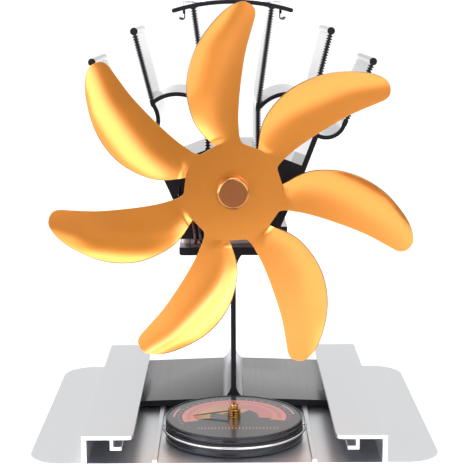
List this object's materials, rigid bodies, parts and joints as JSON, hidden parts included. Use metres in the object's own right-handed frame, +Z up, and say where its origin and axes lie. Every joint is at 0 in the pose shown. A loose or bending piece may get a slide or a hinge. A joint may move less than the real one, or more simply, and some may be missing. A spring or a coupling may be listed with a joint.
{
  "type": "heat-powered stove fan",
  "caption": "Stove-top fan driven by the stove's own heat, with a bladed wheel in front of a finned heat sink, standing in a railed metal tray with a loose dial thermometer.",
  "frame": {"origin": "centre of the tray's bottom face, which is the rest face", "axes": "+Z up, the wheel and the thermometer towards -Y, +X to the right as the front is seen"},
  "size_m": [0.1766, 0.1472, 0.1954],
  "materials": {
    "tray_aluminium": "satin natural extrusion",
    "black_anodised": "satin black anodised extrusion",
    "gold_anodised": "satin gold anodised sheet",
    "copper_anodised": "satin copper-brown turned face with a bright rim",
    "brass": "bright turned",
    "module_ceramic": "matt pinkish-grey alumina",
    "module_pellet": "cast semiconductor pellet",
    "silicone": "translucent white seal",
    "thermal_pad": "soft graphite pad",
    "steel": "zinc plated",
    "dark_steel": "blackened",
    "shaft_steel": "ground",
    "white_plastic": "moulded",
    "red_lead": "soft insulation",
    "black_lead": "soft insulation",
    "ferrite": "sintered",
    "copper": "enamelled wire or bare bar",
    "bright_wire": "bright plated wire",
    "black_tin": "satin black",
    "dial_print": "satin grey print with coloured arcs",
    "bimetal": "rolled strip"
  },
  "bodies": {
    "tray": {"dock_tray": "tray_aluminium"},
    "fan": {"heat_post": "black_anodised", "lower_pad": "thermal_pad", "module_hot_plate": "module_ceramic", "module_legs": "module_pellet", "module_seal": "silicone", "module_cold_plate": "module_ceramic", "upper_pad": "thermal_pad", "heat_sink": "black_anodised", "clamp_screws": "steel", "clamp_bushes": "white_plastic", "motor_can": "dark_steel", "motor_end_cap": "white_plastic", "motor_front_bush": "brass", "motor_rear_bush": "brass", "motor_magnets": "ferrite", "motor_brushes": "copper", "motor_terminals": "brass", "motor_set_screw": "dark_steel", "module_lead_near": "red_lead", "module_lead_far": "black_lead"},
    "rotor": {"motor_shaft": "shaft_steel", "armature_core": "dark_steel", "armature_coils": "copper", "commutator": "copper", "fan_wheel": "gold_anodised", "hub_boss": "brass", "hub_cap": "copper_anodised", "hub_grub_screw": "dark_steel"},
    "handle": {"carry_handle": "bright_wire"},
    "thermometer": {"thermo_base": "black_tin", "thermo_cover": "black_tin", "thermo_dial": "dial_print", "thermo_magnets": "ferrite", "bimetal_coil": "bimetal", "coil_post": "steel", "spindle_bush": "brass"},
    "ring": {"lift_ring": "bright_wire"},
    "pointer": {"pointer_spindle": "brass", "pointer_arm": "brass"}
  },
  "joints": [
    {"name": "fan_slide", "type": "slide", "parent": "tray", "child": "fan", "axis": [0, 1, 0], "range_m": [0, 0.065]},
    {"name": "rotor_spin", "type": "hinge", "parent": "fan", "child": "rotor", "pos_m": [0, -0.0157, 0.1097], "axis": [0, 1, 0], "continuous": true},
    {"name": "handle_fold", "type": "hinge", "parent": "fan", "child": "handle", "pos_m": [0, 0.0288, 0.1919], "axis": [1, 0, 0], "range_deg": [0, 80]},
    {"name": "thermometer_slide", "type": "slide", "parent": "tray", "child": "thermometer", "axis": [0, -1, 0], "range_m": [0, 0.036]},
    {"name": "ring_lift", "type": "hinge", "parent": "thermometer", "child": "ring", "pos_m": [0, -0.0376, 0.0073], "axis": [-1, 0, 0], "range_deg": [0, 105]},
    {"name": "pointer_turn", "type": "hinge", "parent": "thermometer", "child": "pointer", "pos_m": [0, -0.0376, 0.0118], "axis": [0, 0, -1], "range_deg": [0, 180]}
  ]
}
